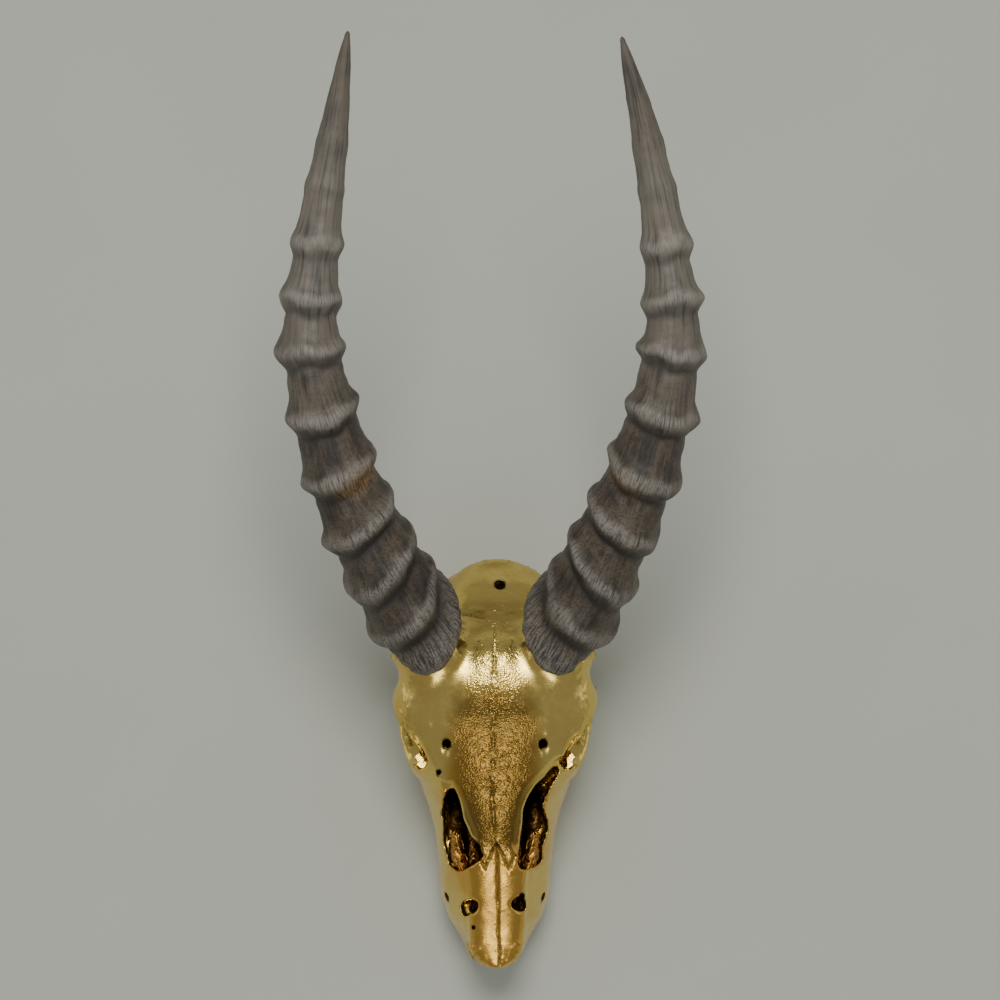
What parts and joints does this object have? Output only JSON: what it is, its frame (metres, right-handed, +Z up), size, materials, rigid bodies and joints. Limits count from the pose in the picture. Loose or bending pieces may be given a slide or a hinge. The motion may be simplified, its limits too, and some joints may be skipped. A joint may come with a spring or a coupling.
{
  "type": "painted antelope skull",
  "caption": "Antelope skull without its lower jaw, painted gold, with long ringed dark horns that sweep back and in, resting on its upper cheek teeth.",
  "frame": {"origin": "on the resting plane, below the middle of the bounding box", "axes": "+X to the skull's image-right side, +Y from the nose towards the back of the head and the horn tips, +Z up from the chewing faces of the teeth"},
  "size_m": [0.2551, 0.5168, 0.301],
  "materials": {
    "gold_bone": "satin",
    "horn": "satin",
    "gold_tooth": "satin"
  },
  "bodies": {
    "root": {"skull": "gold_bone", "horn_left": "horn", "horn_right": "horn", "tooth_left_p2": "gold_tooth", "tooth_left_p3": "gold_tooth", "tooth_left_p4": "gold_tooth", "tooth_left_m1": "gold_tooth", "tooth_left_m2": "gold_tooth", "tooth_left_m3": "gold_tooth", "tooth_right_p2": "gold_tooth", "tooth_right_p3": "gold_tooth", "tooth_right_p4": "gold_tooth", "tooth_right_m1": "gold_tooth", "tooth_right_m2": "gold_tooth", "tooth_right_m3": "gold_tooth"}
  },
  "joints": []
}
